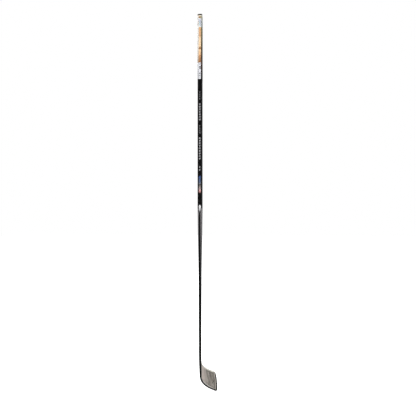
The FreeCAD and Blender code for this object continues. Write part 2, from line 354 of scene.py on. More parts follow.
def black_carbon(name, silver=False, wear=0.5):
    """Lacquered black laminate, with or without the silver corners of the taper."""
    made, point, x, y, z = begin(name)
    cloth = use(twill, Vector=point, Tow=TOW)
    marks = use(scuffs, Vector=point, Amount=wear)
    colour = mix(cloth["Value"], *CLOTH_TONES)
    colour = mix(marks["Mask"], colour, grey(0.014))
    if silver:
        rear = fade(y, *REAR, 1.0, 0.0)
        right = silver_side(x, rear, z, *SILVER_RIGHT)
        left = silver_side(times(x, -1.0), rear, z, *SILVER_LEFT)
        metal = mix(noise(point, 2600.0), *SILVER_TONES)
        colour = mix(plus(right, left, clamp=True), colour, metal)
    rough = plus(0.34, marks["Roughness"], clamp=True)
    height = times_plus(cloth["Height"], 0.25, marks["Height"])
    return surface(made, colour, rough, height, depth=0.05, strength=0.25, Specular_IOR_Level=0.25,
                   Coat_Weight=0.55, Coat_Roughness=0.07, Coat_IOR=1.4)


shaft_black = black_carbon("black_carbon")
shaft_taper = black_carbon("black_carbon_with_silver", silver=True)
hosel_black = black_carbon("black_hosel", wear=1.0)
band_black = black_carbon("black_joint_band", wear=0.8)

# %% [markdown]
# ## Printed films at the butt end
# The top of the shaft is wrapped in printed film. Its colour changes along the shaft and also round it:
# the narrow back face has one colour, and the two sides have others, the forehand side darker. A colour ramp
# on the height gives the bands, and a smooth step on the sideways place picks the face, so each colour stays
# on its own side of the shaft. Lettering is left out, and plain blocks stand where it would be.

# %% Helpers for bands and blocks of print
RIGHT_SIDE = (3.3 * MM, 4.9 * MM)
LEFT_SIDE = (-4.9 * MM, -3.5 * MM)


def bands(value, stops):
    """Colour from rows of (place in mm, red, green, blue), blended in between."""
    low, high = stops[0][0], stops[-1][0]
    share = put("MapRange", Value=value, From_Min=low * MM, From_Max=high * MM).outputs[0]
    ramp = put("ValToRGB", Fac=share)
    elements = ramp.color_ramp.elements
    while len(elements) < len(stops):
        elements.new(0.5)
    for element, stop in zip(elements, stops):
        element.position = (stop[0] - low) / (high - low)
    for element, stop in zip(elements, stops):
        element.color = paint(*stop[1:])
    return ramp.outputs[0]


def block(value, low, high, soft=0.4):
    """Mask that is 1 between two places in mm."""
    rise = fade(value, (low - soft) * MM, low * MM)
    return times(rise, fade(value, high * MM, (high + soft) * MM, 1.0, 0.0))


def round_the_shaft(x, back, left, right):
    """The back face's colour, with other colours on the backhand and forehand sides."""
    colour = mix(fade(x, *RIGHT_SIDE), back, right)
    return mix(fade(x, *LEFT_SIDE, 1.0, 0.0), colour, left)


def film(name, artwork, gloss=0.22):
    """Glossy printed film: artwork makes the colour, and the film adds ink mottle, scuffs and ripples."""
    made, point, x, y, z = begin(name)
    marks = use(scuffs, Vector=point, Amount=0.8)
    colour = artwork(point, x, y, z)
    colour = mix(times(noise(point, 420.0, 3.0), 0.14), colour, grey(0.12))
    colour = mix(times(marks["Mask"], 0.5), colour, grey(0.45))
    rough = plus(gloss + 0.1, marks["Roughness"], clamp=True)
    ripple = noise(stretched(point, 160.0, 160.0, 45.0))
    height = times_plus(ripple, 0.6, marks["Height"])
    return surface(made, colour, rough, height, depth=0.06, strength=0.3, Specular_IOR_Level=0.4,
                   Coat_Weight=0.35, Coat_Roughness=gloss * 0.5)

# %% [markdown]
# Each film has its own artwork. Its rows say the colour at places down the shaft, from the lowest up.

# %% Artwork of the wraps and the label
INFO_BLOCKS = ((-230, -216, -2.2, 4.6, 126), (-251, -244, -1.6, 1.4, 60), (-258, -254, -4.0, 2.0, 150),
               (-210, -206, -4.0, 3.6, 160))


def top_artwork(point, x, y, z):
    """White wrap with a grey side and a cream rim under the cap."""
    back = bands(z, [(-56, 206, 208, 206), (-24, 206, 206, 202), (-9, 202, 202, 182),
                     (-5.5, 196, 180, 160)])
    left = bands(z, [(-56, 206, 206, 200), (-36, 200, 188, 180), (-28, 204, 196, 196),
                     (-22, 196, 200, 198), (-5.5, 190, 174, 160)])
    right = bands(z, [(-56, 132, 138, 138), (-26, 126, 128, 132), (-20, 136, 130, 96),
                      (-9, 150, 140, 110), (-5.5, 190, 170, 150)])
    cells = noise(stretched(point, 60.0, 60.0, 210.0))
    right = mix(fade(cells, 0.42, 0.58), right, paint(158, 162, 160))
    return round_the_shaft(x, back, left, right)


def upper_artwork(point, x, y, z):
    """Tan face between a pale backhand side and a dark forehand side."""
    back = bands(z, [(-202, 130, 94, 68), (-174, 186, 136, 95), (-169, 226, 182, 138),
                     (-149, 238, 205, 162), (-146, 160, 116, 82), (-139, 166, 122, 86),
                     (-136, 242, 210, 168), (-99, 243, 214, 176), (-95, 216, 172, 132),
                     (-56, 214, 168, 122)])
    grain = use(streaks, Vector=stretched(point, 420.0, 420.0, 22.0), Contrast=2.0)
    back = mix(times(grain["Value"], 0.28), back, paint(150, 104, 66))
    back = mix(times(block(x, -4.8, -2.9), 0.55), back, paint(166, 122, 78))
    notch = plus(block(z, -90, -86), block(z, -107, -103), clamp=True)
    back = mix(times(notch, block(x, -4.8, -2.6)), back, paint(112, 92, 84))
    left = bands(z, [(-202, 156, 130, 108), (-172, 182, 168, 152), (-130, 192, 186, 176),
                     (-56, 206, 203, 198)])
    right = bands(z, [(-202, 62, 46, 38), (-150, 74, 66, 50), (-56, 112, 102, 76)])
    return round_the_shaft(x, back, left, right)


def info_artwork(point, x, y, z):
    """Pale label with plain grey blocks, and a dark forehand side."""
    back = bands(z, [(-270, 190, 190, 194), (-262, 200, 202, 206), (-240, 204, 204, 210),
                     (-202, 206, 206, 212)])
    for low, high, left_x, right_x, tone in INFO_BLOCKS:
        spot = times(block(z, low, high), block(x, left_x, right_x))
        back = mix(spot, back, paint(tone, tone, tone + 4))
    rows = maths("PINGPONG", times(z, 180.0), 0.5)
    lines = times(fade(rows, 0.30, 0.36), block(y, -7, 8))
    left = bands(z, [(-270, 148, 148, 151), (-240, 164, 165, 169), (-202, 194, 196, 200)])
    left = mix(times(lines, 0.7), left, paint(120, 120, 126))
    right = bands(z, [(-270, 14, 13, 13), (-236, 34, 26, 23), (-202, 70, 56, 50)])
    return round_the_shaft(x, back, left, right)


top_wrap_film = film("white_wrap", top_artwork)
tan_wrap_film = film("tan_wrap", upper_artwork)
label_film = film("info_label", info_artwork, gloss=0.34)

# %% [markdown]
# ## Stickers and small prints
# Two stickers sit on the white wrap: a round orange-brown one and a pale blue-grey panel. Lower down, grey
# bars, a blue and a red block and a white wedge are printed on the narrow face. They are thin parts of
# their own, so one function makes their ink, and a table says each part's colours along its length and how
# worn it is.

# %% Finish for the prints
INKS = {
    "grey_marks": ("grey_print", 0.8, [
        (-650, 150, 150, 152), (-612, 132, 132, 134), (-515, 146, 146, 148), (-500, 104, 104, 106),
        (-462, 104, 104, 106), (-440, 132, 132, 134), (-372, 128, 128, 130), (-356, 96, 96, 98),
        (-320, 100, 100, 102)]),
    "blue_accent": ("blue_print", 0.7, [(-706, 104, 104, 106), (-698, 72, 84, 104), (-672, 44, 66, 112)]),
    "red_accent": ("red_print", 0.8, [(-742, 82, 60, 54), (-733, 176, 128, 128), (-726, 158, 138, 136),
                                      (-716, 112, 106, 104), (-708, 74, 70, 68)]),
    "white_wedge": ("white_print", 0.0, [(-828, 50, 50, 52), (-820, 92, 92, 94), (-812, 168, 168, 170),
                                         (-806, 190, 190, 192), (-792, 194, 194, 196)]),
    "top_edge_marks": ("dark_print", 0.6, [(0, 74, 70, 58)])}


def ink(name, worn, stops):
    """Printed colour along the shaft, mottled and a little rubbed."""
    made, point, x, y, z = begin(name)
    marks = use(scuffs, Vector=point, Amount=1.0)
    colour = bands(z, stops) if len(stops) > 1 else paint(*stops[0][1:])
    rubbed = noise(point, 300.0, 5.0, Roughness=0.7)
    colour = mix(fade(rubbed, 0.66 - 0.2 * worn, 0.74), colour, grey(0.03))
    colour = mix(marks["Mask"], colour, grey(0.06))
    rough = plus(0.32, marks["Roughness"], clamp=True)
    return surface(made, colour, rough, rubbed, depth=0.03, strength=0.3, Coat_Weight=0.3)


inks = {node: ink(*recipe) for node, recipe in INKS.items()}
print("prints:", list(inks))

# %% Finish for the stickers
DISC_HEIGHT = -14.5 * MM


def sticker_surface(name, artwork):
    """Vinyl sticker with a faint orange-peel surface."""
    made, point, x, y, z = begin(name)
    peel = noise(point, 1400.0)
    mottle = noise(point, 500.0, 4.0)
    colour = mix(times(mottle, 0.18), artwork(x, z), grey(0.2))
    rough = times_plus(mottle, 0.12, 0.24)
    return surface(made, colour, rough, peel, depth=0.03, strength=0.35, Coat_Weight=0.3)


def round_artwork(x, z):
    """Orange-brown disc that turns olive on one side, with a darker ring."""
    disc = mix(fade(x, -1.6 * MM, 2.4 * MM), paint(172, 118, 72), paint(128, 118, 76))
    away = minus(z, DISC_HEIGHT)
    reach = maths("SQRT", times_plus(x, x, times(away, away)))
    ring = plus(block(reach, 3.0, 3.5), block(reach, 0.0, 1.0), clamp=True)
    return mix(times(ring, 0.6), disc, paint(112, 78, 44))


def panel_artwork(x, z):
    """Pale blue-grey panel, lilac on one side and almost white at its foot."""
    tint = bands(z, [(-50, 198, 204, 206), (-45, 172, 190, 196), (-34, 172, 190, 194),
                     (-30, 166, 174, 192), (-22, 194, 190, 204)])
    return mix(fade(x, 0.6 * MM, 2.6 * MM, 0.0, 0.6), tint, paint(176, 166, 182))


orange_vinyl = sticker_surface("orange_sticker", round_artwork)
blue_grey_vinyl = sticker_surface("blue_grey_sticker", panel_artwork)

# %% [markdown]
# ## The shaft, in lengths
# The shaft is one moulded tube, 30 mm deep and 19.4 mm wide, with rounded corners. It keeps that section
# over its upper half and then narrows towards the blade. It could be one long piece, but a finish is stored
# on a square picture per piece, so a piece 1.4 m long would lose its fine print and scratches. The tube is
# made in lengths that meet edge to edge: a box is cut into rings where the taper changes, each ring is
# scaled to the tube's section there, the long edges are bevelled, and Solidify gives the wall.

# %% Shaft lengths
SECTIONS = ((0.0, 19.4, 30.0), (-805.0, 19.4, 30.0), (-1061.0, 12.4, 26.0), (-1396.0, 9.4, 24.2))
CORNER = 4.6
WALL = 1.5
CORNER_STEPS = 7
CORNER_REACH = 3 * MM


def section(z):
    """Width and depth of the shaft at a height, all in mm."""
    for (top, wide_top, deep_top), (low, wide_low, deep_low) in zip(SECTIONS, SECTIONS[1:]):
        if z >= low:
            share = (top - z) / (top - low)
            return wide_top + share * (wide_low - wide_top), deep_top + share * (deep_low - deep_top)
    return SECTIONS[-1][1:]


def box_between(wide, deep, top, low):
    """A closed box about the shaft's axis, in mm."""
    let_go()
    bpy.ops.mesh.primitive_cube_add(size=1.0, location=(0, 0, (top + low) / 2 * MM))
    piece = bpy.context.object
    piece.scale = (wide * MM, deep * MM, (top - low) * MM)
    bpy.ops.object.transform_apply(location=True, rotation=True, scale=True)
    return piece


def runs_down(piece):
    """Test for the long corner edges, which join two heights at one corner."""
    def test(edge):
        a, b = ends(piece, edge)
        return abs(a.z - b.z) > 0.5 * MM and min(abs(a.x), abs(b.x)) > CORNER_REACH
    return test


def hollow(piece, wall):
    """Open both ends and give the sides a wall that grows inwards."""
    pick(piece, "faces", lambda face: abs(face.normal.z) > FACING)
    bpy.ops.mesh.delete(type="FACE")
    apply_modifier(piece, "SOLIDIFY", thickness=wall * MM, offset=-1.0, use_even_offset=True)


def shaft_length(name, top, low):
    """One length of the tube."""
    piece = box_between(*section(top), top, low)
    rings = [z for z, _, _ in SECTIONS if low < z < top]
    for z in rings:
        pick(piece, "faces", lambda face: True)
        bpy.ops.mesh.bisect(plane_co=(0, 0, z * MM), plane_no=(0, 0, 1))
    for z in rings + [low]:
        wide, deep = section(z)
        old_wide, old_deep = section(top)
        pick(piece, "vertices", lambda vertex: abs(vertex.co.z - z * MM) < TOUCH)
        bpy.ops.transform.resize(value=(wide / old_wide, deep / old_deep, 1.0),
                                 center_override=(0, 0, z * MM))
    pick(piece, "edges", runs_down(piece))
    bpy.ops.mesh.bevel(offset=CORNER * MM, segments=CORNER_STEPS, affect="EDGES", clamp_overlap=False)
    hollow(piece, WALL)
    return settle(piece, name)


LENGTHS = (("shaft_under_wraps", -5.5, -270.0, shaft_black), ("shaft_upper", -270.0, -538.0, shaft_black),
           ("shaft_middle", -538.0, -805.0, shaft_black), ("shaft_taper", -805.0, -1100.0, shaft_taper),
           ("shaft_lower", -1100.0, -1396.0, shaft_taper))
for name, top, low, finish in LENGTHS:
    finish_piece(shaft_length(name, top, low), finish, "carbon_shaft", "shaft_tube")
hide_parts("fade_strip_right", "fade_strip_left")

# %% [markdown]
# ## Printed sleeves
# Two films and a label are shrunk round the top of the shaft, and a painted band covers the joint at the
# blade. Each is a thin sleeve a quarter of a millimetre proud of the tube. They are made like the tube: an
# open box with bevelled corners and a wall that grows inwards until it touches the shaft.

# %% Sleeves
FILM_WALL = 0.25
FILM_CORNER = CORNER + FILM_WALL


def sleeve(name, node, finish, slot):
    """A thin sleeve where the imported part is."""
    lowest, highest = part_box(node)
    wide, deep = (highest.x - lowest.x) / MM, (highest.y - lowest.y) / MM
    piece = box_between(wide, deep, highest.z / MM, lowest.z / MM)
    pick(piece, "edges", runs_down(piece))
    bpy.ops.mesh.bevel(offset=FILM_CORNER * MM, segments=CORNER_STEPS + 1, affect="EDGES",
                       clamp_overlap=False)
    hollow(piece, FILM_WALL)
    finish_piece(settle(piece, name), finish, slot, node)


sleeve("top_wrap", "top_wrap_label", top_wrap_film, "white_wrap")
sleeve("upper_wrap", "upper_wrap_film", tan_wrap_film, "tan_wrap")
sleeve("label_sleeve", "info_label", label_film, "info_label")
sleeve("joint_sleeve", "joint_band", band_black, "black_band")

# %% [markdown]
# ## Butt cap
# A moulded rubber-like cap closes the butt end. Its stem goes down inside the tube and is glued there. The
# cap is a low box with the shaft's rounded corners and a softer rim. Its top has a shallow dished panel,
# and the stem is the underside inset to the size of the bore and pulled down.

# %% Butt cap
CAP_RIM = 1.8
RIM_STEPS = 6
STEM_INSET = 2.0
DISH_INSET = 2.6
DISH_SLOPE = 0.5
DISH_DEPTH = 0.35
SMALLEST_TOP = 50 * MM * MM

made, point, x, y, z = begin("cap_rubber")
grain = put("TexVoronoi", Vector=point, Scale=1500.0).outputs[0]
cloud = noise(point, 140.0, 4.0)
marks = use(scuffs, Vector=point, Amount=0.8)
colour = mix(cloud, paint(18, 15, 13), paint(34, 29, 25))
colour = mix(marks["Mask"], colour, paint(70, 62, 56))
cap_rubber = surface(made, colour, times_plus(cloud, 0.18, 0.55), grain, depth=0.05, strength=0.35,
                     Specular_IOR_Level=0.25)

lowest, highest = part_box("butt_plug")
cap_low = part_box("top_wrap_label")[1].z
wide, deep = (highest.x - lowest.x) / MM, (highest.y - lowest.y) / MM
cap = box_between(wide, deep, highest.z / MM, cap_low / MM)
pick(cap, "edges", runs_down(cap))
bpy.ops.mesh.bevel(offset=FILM_CORNER * MM, segments=CORNER_STEPS + 1, affect="EDGES")
pick(cap, "faces", lambda face: face.normal.z > FACING)
bpy.ops.mesh.region_to_loop()
bpy.ops.mesh.bevel(offset=CAP_RIM * MM, segments=RIM_STEPS, affect="EDGES")
pick(cap, "faces", lambda face: face.normal.z > 0.99 and face.area > SMALLEST_TOP)
bpy.ops.mesh.inset(thickness=DISH_INSET * MM)
bpy.ops.mesh.inset(thickness=DISH_SLOPE * MM, depth=-DISH_DEPTH * MM)
pick(cap, "faces", lambda face: face.normal.z < -FACING)
bpy.ops.mesh.inset(thickness=STEM_INSET * MM)
bpy.ops.mesh.extrude_region_move(TRANSFORM_OT_translate={"value": (0, 0, lowest.z - cap_low)})
finish_piece(settle(cap, "butt_cap", angle=30.0), cap_rubber, "cap_rubber", "butt_plug")

# %% [markdown]
# ## The blade's own directions
# The blade lies at 45 degrees to the shaft. It is easiest to think of it in its own two directions: run,
# from the heel towards the toe along the sole, and rise, straight up from the sole. Two functions turn
# those into the frame's Y and Z and back. Others say how thick the blade is, how far its middle surface is
# bowed to the forehand side, and how its face opens towards the toe.

# %% Blade directions and curve
SHAFT_LENGTH = 1524.0
LIE = math.radians(45.0)
BLADE_LENGTH = 282.0
THICKNESS = ((-75.0, 9.3), (-60.0, 9.1), (-30.0, 8.2), (0.0, 7.4), (60.0, 7.0), (150.0, 6.4), (320.0, 5.6))
CURVE_RADIUS = 665.0
HEEL_SHIFT = 2.4
HEEL_SHIFT_RUNS = (-75.0, -10.0)
FACE_OPENING = math.radians(6.6)
OPENING_PIVOT = 28.0
OPENING_POWER = 1.5
HEEL_HEIGHT = 58.5
TOE_HEIGHT = 84.0
slope = (TOE_HEIGHT - HEEL_HEIGHT) / BLADE_LENGTH


def top_rise(run):
    """Height of the blade's top line above the sole."""
    return HEEL_HEIGHT + slope * run


def from_blade(run, rise):
    """Y and Z in mm of a point given along and above the sole."""
    return (run * math.cos(LIE) + rise * math.sin(LIE),
            -SHAFT_LENGTH - run * math.sin(LIE) + rise * math.cos(LIE))


def to_blade(y, z):
    """Run and rise in mm of a point given as Y and Z."""
    low = z + SHAFT_LENGTH
    return y * math.cos(LIE) - low * math.sin(LIE), y * math.sin(LIE) + low * math.cos(LIE)


def eased(value, start, end):
    """A smooth step from 0 at start to 1 at end."""
    share = min(max((value - start) / (end - start), 0.0), 1.0)
    return share * share * (3.0 - 2.0 * share)


def thickness(run):
    """Thickness of the blade in mm."""
    for (start, thick), (end, thin) in zip(THICKNESS, THICKNESS[1:]):
        if run <= end:
            return thick + (thin - thick) * max(run - start, 0.0) / (end - start)
    return THICKNESS[-1][1]


def middle(run, rise):
    """X in mm of the middle surface: set over at the heel, then an arc whose face opens towards the toe."""
    bow = CURVE_RADIUS - math.sqrt(CURVE_RADIUS ** 2 - max(run, 0.0) ** 2)
    bow += HEEL_SHIFT * eased(run, *HEEL_SHIFT_RUNS)
    share = min(max(run / BLADE_LENGTH, 0.0), 1.0)
    return bow - math.tan(FACE_OPENING * share ** OPENING_POWER) * (rise - OPENING_PIVOT)


print("toe offset:", round(middle(BLADE_LENGTH, OPENING_PIVOT), 1), "mm")

# %% [markdown]
# ## Finishes of the blade
# The blade is painted taupe-grey over the cloth, with streaks that follow the slanted fibres and darker,
# rubbed blotches towards the toe. A dark border wraps the sole and the toe, with a pale pinstripe and a
# faint dark line inside it. At the toe the same three colours are painted again as wider bands that bow
# with the toe's edge. These finishes need to know where they are on the blade, so a helper works out run,
# rise and the distance below the top line from the object coordinates, with the same sums as above.

# %% Blade finishes
TOE_BULGE_RISE = 38.0 * MM
TOE_BULGE = 4.2
TOE_BANDS = ((-5.0, 17.5, 1.0, (16, 15, 14)), (18.0, 27.0, 0.6, (184, 178, 168)),
             (28.0, 38.0, 0.7, (42, 39, 35)))


def blade_place(y, z):
    """Run, rise and depth below the top line, as sockets in metres."""
    low = plus(z, SHAFT_LENGTH * MM)
    run = times(minus(y, low), math.cos(LIE))
    rise = times(plus(y, low), math.cos(LIE))
    line = times_plus(run, slope, HEEL_HEIGHT * MM)
    return run, rise, minus(line, rise)


def toe_lines(colour, run, rise):
    """Bands in from the toe's edge, which bows out in the middle. A band's rows are in mm from that edge."""
    off = minus(rise, TOE_BULGE_RISE)
    bulge = times(times(off, off), TOE_BULGE)
    inland = minus(minus(BLADE_LENGTH * MM, bulge), run)
    for low, high, share, tone in TOE_BANDS:
        colour = mix(times(block(inland, low, high), share), colour, paint(*tone))
    return colour


def blade_paint(name, darker=0.0):
    """Streaked taupe paint with rubbed blotches; darker gives the thin line's tone."""
    made, point, x, y, z = begin(name)
    run, rise, below = blade_place(y, z)
    marks = use(scuffs, Vector=point, Amount=1.2)
    base = bands(run, [(-50, 196, 190, 178), (-10, 176, 166, 156), (60, 172, 160, 152),
                       (140, 148, 141, 133), (200, 136, 130, 122), (282, 128, 122, 114)])
    fibres = use(streaks, Vector=stretched(point, 30.0, 42.0, 11.0), Contrast=9.0)
    toe_side = fade(run, 20 * MM, 170 * MM, 0.22, 0.85)
    colour = mix(times(fibres["Value"], toe_side), base, paint(46, 42, 37))
    colour = mix(fade(fibres["Fine"], 0.5, 0.62, 0.0, 0.42), colour, paint(206, 198, 188))
    rubs = noise(stretched(point, 30.0, 46.0, 42.0), detail=4.0, Roughness=0.6, Distortion=1.4)
    blotch = times(fade(rubs, 0.54, 0.62), fade(run, 100 * MM, 190 * MM, 0.0, 0.9))
    colour = mix(blotch, colour, paint(58, 54, 44))
    under_top = times(block(below, 4.0, 8.5), fade(run, 30 * MM, 90 * MM, 0.0, 0.55))
    colour = mix(under_top, colour, paint(196, 192, 176))
    if darker:
        shade = times(fade(run, 60 * MM, 170 * MM), darker)
        colour = mix(shade, colour, paint(70, 66, 60))
    colour = toe_lines(colour, run, rise)
    colour = mix(marks["Mask"], colour, paint(214, 208, 200))
    rough = plus(times_plus(fibres["Fine"], 0.16, 0.34), marks["Roughness"], clamp=True)
    height = times_plus(blotch, -0.7, plus(fibres["Height"], marks["Height"]))
    return surface(made, colour, rough, height, depth=0.08, strength=0.4, Specular_IOR_Level=0.15,
                   Coat_Weight=0.05, Coat_Roughness=0.3)


taupe = blade_paint("taupe_blade")
thin_line = blade_paint("taupe_blade_dark_line", darker=0.8)

# %% [markdown]
# The border, the pinstripe and the top edge share one paint with light scratches and chips. What lies over
# it is given as a function: the pinstripe dims towards the toe, and the top edge has a broken grey rim.

# %% Border finishes
DASH = 12 * MM


def edge_paint(name, base, light, wear, over=None, depth=0.05, strength=0.3, **sockets):
    """Paint of the borders. Scratches and chips show the light colour, and grow with wear."""
    made, point, x, y, z = begin(name)
    run, rise, below = blade_place(y, z)
    marks = use(scuffs, Vector=point, Amount=wear)
    chips = noise(point, 190.0, 6.0, Roughness=0.65)
    colour = mix(fade(chips, 0.56, 0.7, 0.0, 0.5), base, light)
    colour = mix(marks["Mask"], colour, light)
    if over:
        colour = over(colour, run, rise, below)
    rough = plus(times_plus(chips, 0.2, 0.3), marks["Roughness"], clamp=True)
    height = plus(chips, marks["Height"])
    return surface(made, colour, rough, height, depth=depth, strength=strength, **sockets)


def dimmed(colour, run, rise, below):
    """Duller towards the toe, and crossed by the toe's bands."""
    colour = mix(fade(run, 120 * MM, 250 * MM, 0.0, 0.6), colour, paint(128, 122, 114))
    return toe_lines(colour, run, rise)


def broken_rim(colour, run, rise, below):
    """Grey dashes just under the top line."""
    dashes = maths("PINGPONG", maths("DIVIDE", run, DASH), 1.0)
    broken = times(fade(dashes, 0.25, 0.45, 0.45, 1.0), fade(run, 20 * MM, 90 * MM))
    rim = times(fade(below, 1.2 * MM, 2.2 * MM, 1.0, 0.0), broken)
    return mix(rim, colour, paint(88, 87, 82))


dark_border = edge_paint("black_edge", paint(12, 11, 10), paint(58, 54, 50), 0.7, depth=0.08, strength=0.4,
                         Specular_IOR_Level=0.15)
pinstripe = edge_paint("pale_stripe", paint(222, 216, 208), paint(168, 162, 154), 0.8, dimmed)
pale_edge = edge_paint("pale_edge", paint(226, 225, 216), paint(170, 168, 158), 0.9, broken_rim)
print("materials:", len(bpy.data.materials))

# %% [markdown]
# ## One blank for neck and blade
# Neck and blade are moulded together, so they are modelled from one flat blank. The outline is a face with
# eight corners, and each corner is rounded by its own vertex bevel. The face is cut across into strips, so
# that it can bend later, and pulled out to the thickness of the neck. The outer edges are then rounded by a
# Bevel modifier with weights: full on the neck, where the shaft's round corners have to go on, and about
# half on the thin blade.

# %% Outline of the blank
TOE_ROCKER = 1.0
HEEL_ROCKER = 2.6
SOLE_LOW = (115.0, -3.6)
TOE_WIDEST = 0.46
NECK_HALF = 12.0
NECK_TOP = -1396.0
NECK_SPARE = 24.0
BLANK = 9.3
START_RADIUS = 100.0
LONG_ARC = 100.0
LONG_ARC_STEPS = 8
ARC_STEP = 2.5

throat_run = (NECK_HALF / math.cos(LIE) - HEEL_HEIGHT) / (1 + slope)
OUTLINE = (((-NECK_HALF, NECK_TOP + NECK_SPARE), 0.0),
           (from_blade(-NECK_HALF / math.cos(LIE) - HEEL_ROCKER, HEEL_ROCKER), 26.0),
           (from_blade(*SOLE_LOW), 2400.0),
           (from_blade(BLADE_LENGTH - 5.0, TOE_ROCKER), 15.0),
           (from_blade(BLADE_LENGTH - 0.1, TOE_WIDEST * TOE_HEIGHT), 45.0),
           (from_blade(BLADE_LENGTH - 2.1, top_rise(BLADE_LENGTH)), 25.0),
           (from_blade(throat_run, top_rise(throat_run)), 34.0),
           ((NECK_HALF, NECK_TOP + NECK_SPARE), 0.0))

let_go()
bpy.ops.mesh.primitive_circle_add(vertices=len(OUTLINE), radius=START_RADIUS * MM, fill_type="NGON",
                                  rotation=(0, math.radians(90), 0))
blank = bpy.context.object
bpy.ops.object.transform_apply(location=True, rotation=True, scale=True)
for index, ((y, z), _) in enumerate(OUTLINE):
    pick(blank, "vertices", lambda vertex: vertex.index == index)
    now = blank.data.vertices[index].co
    bpy.ops.transform.translate(value=(-BLANK / 2 * MM - now.x, y * MM - now.y, z * MM - now.z))
let_go()
places = [Vector((-BLANK / 2, y, z)) * MM for (y, z), _ in OUTLINE]
for index, (_, radius) in enumerate(OUTLINE):
    if radius:
        here = places[index]
        before, after = places[index - 1] - here, places[(index + 1) % len(places)] - here
        reach = radius * MM / math.tan(before.angle(after) / 2)
        pick(blank, "vertices", lambda vertex: (vertex.co - here).length < 10 * TOUCH)
        steps = max(6, round(radius / ARC_STEP)) if radius < LONG_ARC else LONG_ARC_STEPS
        bpy.ops.mesh.bevel(offset=reach, segments=steps, affect="VERTICES", clamp_overlap=False)
let_go()
print("outline points:", len(blank.data.vertices))

# %% [markdown]
# The border, the pinstripe and a thin dark line follow the outline at a fixed distance, so they are inset
# now, while the blank is one flat face, and each ring gets its material slot. The outline was drawn a
# little past the top of the neck, so that the rings run straight out of it when the spare end is cut away.

# %% Rings for the border lines
BORDER = 5.6
STRIPE_WIDTH = 2.6
LINE_WIDTH = 2.2
EDGE, STRIPE, LINE, FACE = range(4)

for finish in (dark_border, pinstripe, thin_line, taupe):
    blank.data.materials.append(finish)
neck_top = NECK_TOP * MM
pick(blank, "faces", lambda face: True)
for index, width in ((STRIPE, BORDER), (LINE, STRIPE_WIDTH), (FACE, LINE_WIDTH)):
    bpy.ops.mesh.inset(thickness=width * MM, use_even_offset=True)
    blank.active_material_index = index
    bpy.ops.object.material_slot_assign()
bpy.ops.mesh.select_all(action="SELECT")
bpy.ops.mesh.bisect(plane_co=(0, 0, neck_top), plane_no=(0, 0, 1), clear_outer=True)
let_go()
print("rings:", sorted({face.material_index for face in blank.data.polygons}))

# %% [markdown]
# Now the flat blank is cut across into strips, pulled out to its thickness, and its rim is rounded. Points
# that lie very close together are merged first, because the rounding would turn such short edges into
# spikes.

# %% Thickness and round edges of the blank
STRIP = 6.0
FIRST_STRIP = -66.0
LAST_STRIP = 264.0
SHORTEST = 0.45
CUT_REACH = 0.05 * MM
EDGE_ROUND = 4.55
ROUND_STEPS = 5
BLADE_ROUND = 0.5
ROUND_CHANGE = (-30.0, 40.0)


def cut(piece, y, z, across_y, across_z):
    """Cut right through a piece with a plane that stands on the Y-Z plane."""
    pick(piece, "faces", lambda face: True)
    bpy.ops.mesh.bisect(plane_co=(0, y * MM, z * MM), plane_no=(0, across_y, across_z), threshold=CUT_REACH)


run_y, run_z = math.cos(LIE), -math.sin(LIE)
rise_y, rise_z = math.sin(LIE), math.cos(LIE)
for step in range(round(FIRST_STRIP / STRIP), round(LAST_STRIP / STRIP) + 1):
    cut(blank, *from_blade(step * STRIP, 0.0), run_y, run_z)
bpy.ops.mesh.select_all(action="SELECT")
bpy.ops.mesh.remove_doubles(threshold=SHORTEST * MM)
pick(blank, "faces", lambda face: True)
bpy.ops.mesh.extrude_region_move(TRANSFORM_OT_translate={"value": (BLANK * MM, 0, 0)})
bpy.ops.mesh.select_all(action="SELECT")
bpy.ops.mesh.normals_make_consistent(inside=False)
let_go()

weights = blank.data.attributes.new("bevel_weight_edge", "FLOAT", "EDGE")
neighbours = {}
for face in blank.data.polygons:
    for key in face.edge_keys:
        neighbours.setdefault(key, []).append(face.normal.x)
for edge in blank.data.edges:
    a, b = ends(blank, edge)
    sides = neighbours[tuple(sorted(edge.vertices))]
    is_rim = abs(a.x - b.x) < TOUCH and abs(abs(sides[0]) - abs(sides[1])) > 0.5
    if is_rim and max(abs(a.z - neck_top), abs(b.z - neck_top)) >= TOUCH:
        run, _ = to_blade((a.y + b.y) / 2 / MM, (a.z + b.z) / 2 / MM)
        start, end = ROUND_CHANGE
        share = min(max((run - start) / (end - start), 0.0), 1.0)
        weights.data[edge.index].value = 1.0 - BLADE_ROUND * share
apply_modifier(blank, "BEVEL", width=EDGE_ROUND * MM, segments=ROUND_STEPS, limit_method="WEIGHT",
               offset_type="OFFSET", use_clamp_overlap=False, loop_slide=False)
print("blank faces:", len(blank.data.polygons))

# %% [markdown]
# ## From blank to bent blade
# A tenon is pulled up out of the neck, for the tube to slide over. More cuts let the blank bend smoothly,
# and then every point moves sideways by the blade's own formula. No operator follows such a formula, so
# this one step sets the points directly.

# %% Tenon and bend
RISE_STEP = 9.0
SPLIT_Y = 7.0
SPLIT_Z = -1449.0
TOE_BORDER_RUN = 257.0
TENON_TOP = -1331.0
TENON_INSET = 1.75
SAME_POINT = 0.12

